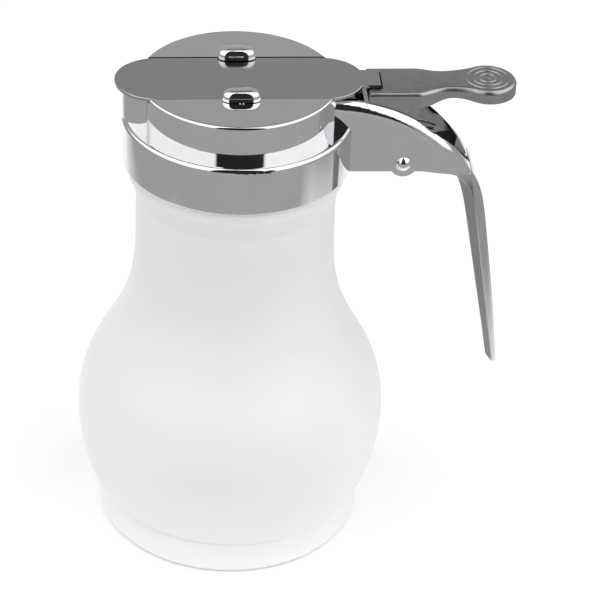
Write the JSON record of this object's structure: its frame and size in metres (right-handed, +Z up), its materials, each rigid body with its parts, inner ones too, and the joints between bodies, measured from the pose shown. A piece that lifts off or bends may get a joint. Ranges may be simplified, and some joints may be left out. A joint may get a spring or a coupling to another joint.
{
  "type": "thumb-lever syrup and condiment dispenser",
  "caption": "Blow-moulded teardrop bottle with a screw-on cast top: a thumb lever draws a flat gate back from the pouring nose, and a spring returns it.",
  "frame": {"origin": "centre of the bottle's base, on the surface it stands on", "axes": "+Z up, +X towards the handle, -X towards the pouring nose, -Y the side the picture shows"},
  "size_m": [0.127, 0.093, 0.1525],
  "materials": {
    "bottle": "translucent white, satin",
    "gasket": "matte",
    "cap": "polished plating",
    "gate": "polished sheet",
    "bright_metal": "polished",
    "lever": "satin cast",
    "spring": "drawn wire"
  },
  "bodies": {
    "bottle": {"bottle": "bottle"},
    "top": {"cap": "cap", "rim_gasket": "gasket", "front_stud": "bright_metal", "rear_stud": "bright_metal", "pivot_pin": "bright_metal", "return_spring": "spring"},
    "gate": {"slide_plate": "gate"},
    "lever": {"thumb_lever": "lever"}
  },
  "joints": [
    {"name": "top_lift", "type": "slide", "parent": "bottle", "child": "top", "axis": [0, 0, 1], "range_m": [0, 0.03]},
    {"name": "lever_pivot", "type": "hinge", "parent": "top", "child": "lever", "pos_m": [0.04745, 0, 0.1263], "axis": [0, 1, 0], "range_deg": [0, 28], "stiffness_Nm_per_rad": 0.06, "springref_deg": -20.05, "deforming": ["return_spring"]},
    {"name": "gate_slide", "type": "slide", "parent": "top", "child": "gate", "axis": [1, 0, 0], "range_m": [0, 0.0092]}
  ],
  "couplings": [
    {"joint": "gate_slide", "follows": "lever_pivot", "m_per_rad": 0.01862}
  ]
}
